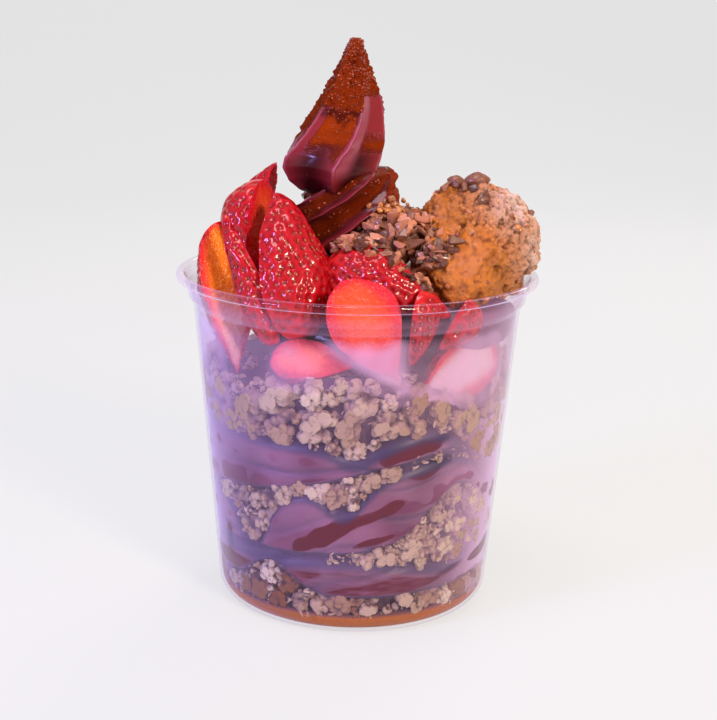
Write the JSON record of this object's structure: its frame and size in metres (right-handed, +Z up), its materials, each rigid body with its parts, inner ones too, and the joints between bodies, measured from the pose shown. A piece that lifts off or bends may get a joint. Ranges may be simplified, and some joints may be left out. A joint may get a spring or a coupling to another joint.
{
  "type": "acai bowl",
  "caption": "Clear plastic cup layered with granola and purple acai soft-serve, topped with a twisted acai peak, cut strawberries, cacao nibs and a scoop of nut butter.",
  "frame": {"origin": "centre of the underside of the cup's base, which is the bottom centre of the bounding box", "axes": "+Z up along the cup's axis; -Y towards the front, where the strawberries stand; +X towards the scoop"},
  "size_m": [0.117, 0.117, 0.1814],
  "materials": {
    "clear_plastic": "thin clear polypropylene, faintly hazy, glossy rim",
    "granola": null,
    "acai": "smooth wet purple soft-serve with a dusting of cocoa on the ridges",
    "nut_butter": "rough crumbly paste with a honey glaze",
    "cacao": "dry broken cacao nibs, dull with waxy faces",
    "strawberry": "wet dimpled skin with pale seeds, softer flesh on the cut faces"
  },
  "bodies": {
    "root": {"cup": "clear_plastic", "granola_base": "granola", "acai_lower": "acai", "granola_lower": "granola", "acai_middle": "acai", "granola_middle": "granola", "acai_upper": "acai", "granola_top": "granola", "acai_swirl": "acai", "nut_butter_scoop": "nut_butter", "cacao_nibs": "cacao", "strawberry_01": "strawberry", "strawberry_02": "strawberry", "strawberry_03": "strawberry", "strawberry_04": "strawberry", "strawberry_05": "strawberry", "strawberry_06": "strawberry", "strawberry_07": "strawberry", "strawberry_08": "strawberry", "strawberry_09": "strawberry", "strawberry_10": "strawberry", "strawberry_11": "strawberry", "strawberry_12": "strawberry", "strawberry_13": "strawberry", "strawberry_14": "strawberry"}
  },
  "joints": []
}
